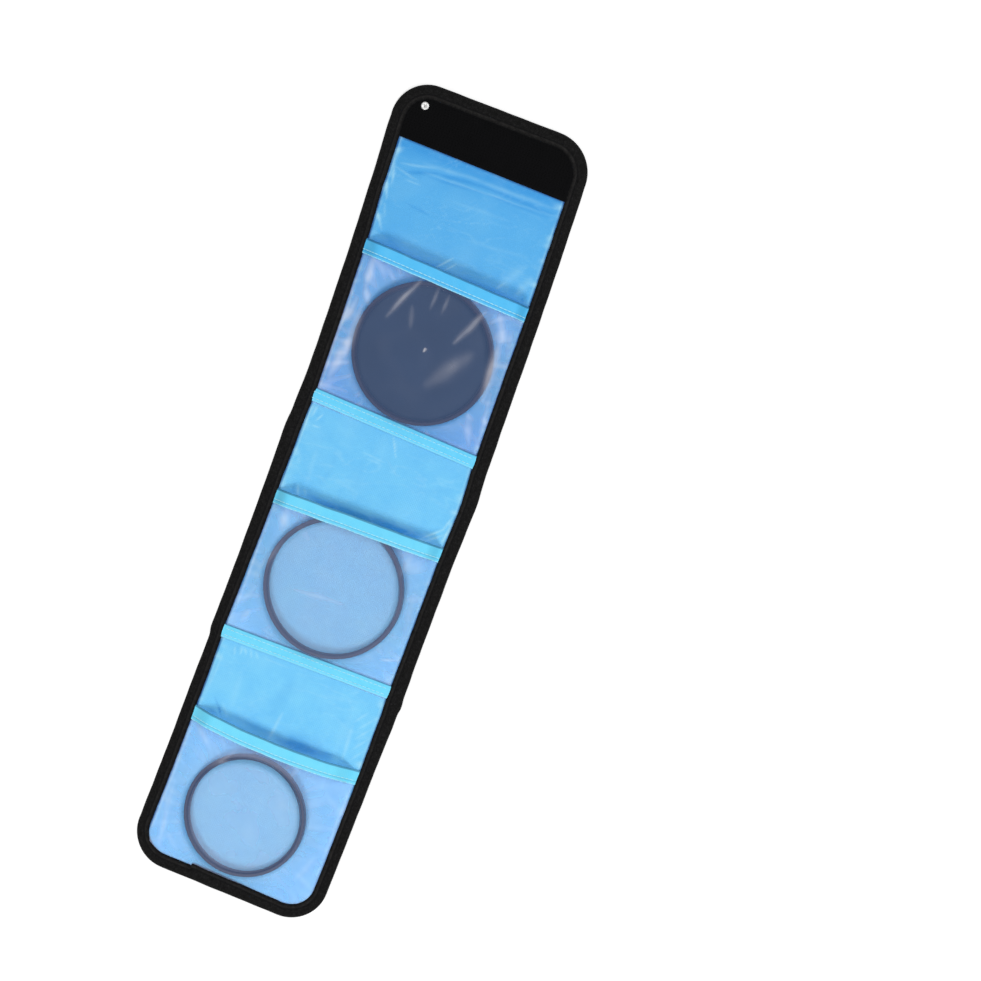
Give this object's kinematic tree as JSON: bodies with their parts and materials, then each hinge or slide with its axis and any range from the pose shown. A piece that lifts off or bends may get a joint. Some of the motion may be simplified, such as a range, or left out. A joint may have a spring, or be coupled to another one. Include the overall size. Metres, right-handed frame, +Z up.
{
  "type": "folding lens filter case",
  "caption": "Folding padded case, lying open, bound in tape, with clear pockets for round lens filters and a wrap-over flap with a hook patch.",
  "frame": {"origin": "on the surface that the open case lies on, under the centre of its outline", "axes": "+Z up out of the lining, +Y along the strip towards the flap, +X across it to the right"},
  "size_m": [0.116, 0.47, 0.0124],
  "materials": {
    "outer_fabric": "black woven nylon",
    "padding_foam": "thin closed foam",
    "lining_fabric": "bright blue woven nylon",
    "binding_tape": "black folded edge tape",
    "window_film": "clear milky soft film",
    "pocket_tape": "light aqua folded tape",
    "hook_pile": "stiff matt hook pile",
    "loop_pile": "soft loop pile",
    "eyelet_metal": "bright nickel",
    "ring_metal": "satin black anodised",
    "dark_glass": "polished dark tint",
    "clear_glass": "polished clear"
  },
  "bodies": {
    "flap": {"flap_shell": "outer_fabric", "flap_padding": "padding_foam", "flap_lining": "lining_fabric", "flap_binding": "binding_tape", "hook_patch": "hook_pile", "eyelet": "eyelet_metal", "eyelet_washer": "eyelet_metal"},
    "flap_spine": {"flap_spine_shell": "outer_fabric", "flap_spine_padding": "padding_foam", "flap_spine_lining": "lining_fabric", "flap_spine_binding_left": "binding_tape", "flap_spine_binding_right": "binding_tape"},
    "top_panel": {"top_panel_shell": "outer_fabric", "top_panel_padding": "padding_foam", "top_panel_lining": "lining_fabric", "top_panel_binding_left": "binding_tape", "top_panel_binding_right": "binding_tape", "top_pocket_window": "window_film", "top_pocket_mouth_tape": "pocket_tape", "top_pocket_seam_tape": "pocket_tape"},
    "upper_spine": {"upper_spine_shell": "outer_fabric", "upper_spine_padding": "padding_foam", "upper_spine_lining": "lining_fabric", "upper_spine_binding_left": "binding_tape", "upper_spine_binding_right": "binding_tape"},
    "middle_panel": {"middle_panel_shell": "outer_fabric", "middle_panel_padding": "padding_foam", "middle_panel_lining": "lining_fabric", "middle_panel_binding_left": "binding_tape", "middle_panel_binding_right": "binding_tape", "middle_pocket_window": "window_film", "middle_pocket_mouth_tape": "pocket_tape", "middle_pocket_seam_tape": "pocket_tape", "loop_patch": "loop_pile"},
    "lower_spine": {"lower_spine_shell": "outer_fabric", "lower_spine_padding": "padding_foam", "lower_spine_lining": "lining_fabric", "lower_spine_binding_left": "binding_tape", "lower_spine_binding_right": "binding_tape"},
    "bottom_panel": {"bottom_panel_shell": "outer_fabric", "bottom_panel_padding": "padding_foam", "bottom_panel_lining": "lining_fabric", "bottom_panel_binding": "binding_tape", "bottom_pocket_window": "window_film", "bottom_pocket_mouth_tape": "pocket_tape"},
    "top_filter": {"top_filter_ring": "ring_metal", "top_filter_glass": "dark_glass", "top_filter_retainer": "ring_metal"},
    "middle_filter": {"middle_filter_ring": "ring_metal", "middle_filter_glass": "clear_glass", "middle_filter_retainer": "ring_metal"},
    "bottom_filter": {"bottom_filter_ring": "ring_metal", "bottom_filter_glass": "clear_glass", "bottom_filter_retainer": "ring_metal"}
  },
  "joints": [
    {"name": "lower_inner_fold", "type": "hinge", "parent": "middle_panel", "child": "lower_spine", "pos_m": [0, -0.1042, 0.0057], "axis": [-1, 0, 0], "range_deg": [0, 90]},
    {"name": "lower_outer_fold", "type": "hinge", "parent": "lower_spine", "child": "bottom_panel", "pos_m": [0, -0.1172, 0.0057], "axis": [-1, 0, 0], "range_deg": [0, 90]},
    {"name": "upper_inner_fold", "type": "hinge", "parent": "middle_panel", "child": "upper_spine", "pos_m": [0, 0.0146, 0.0057], "axis": [1, 0, 0], "range_deg": [0, 90]},
    {"name": "upper_outer_fold", "type": "hinge", "parent": "upper_spine", "child": "top_panel", "pos_m": [0, 0.041, 0.0057], "axis": [1, 0, 0], "range_deg": [0, 90]},
    {"name": "flap_inner_fold", "type": "hinge", "parent": "top_panel", "child": "flap_spine", "pos_m": [0, 0.1665, 0.0057], "axis": [1, 0, 0], "range_deg": [0, 90]},
    {"name": "flap_outer_fold", "type": "hinge", "parent": "flap_spine", "child": "flap", "pos_m": [0, 0.199, 0.0057], "axis": [1, 0, 0], "range_deg": [0, 90]},
    {"name": "top_filter_slide", "type": "slide", "parent": "top_panel", "child": "top_filter", "axis": [0, -1, 0], "range_m": [-0.05, 0]},
    {"name": "middle_filter_slide", "type": "slide", "parent": "middle_panel", "child": "middle_filter", "axis": [0, -1, 0], "range_m": [-0.05, 0]},
    {"name": "bottom_filter_slide", "type": "slide", "parent": "bottom_panel", "child": "bottom_filter", "axis": [0, -1, 0], "range_m": [-0.05, 0]}
  ],
  "couplings": [
    {"joint": "lower_outer_fold", "follows": "lower_inner_fold", "ratio": 1},
    {"joint": "upper_outer_fold", "follows": "upper_inner_fold", "ratio": 1},
    {"joint": "flap_outer_fold", "follows": "flap_inner_fold", "ratio": 1}
  ]
}
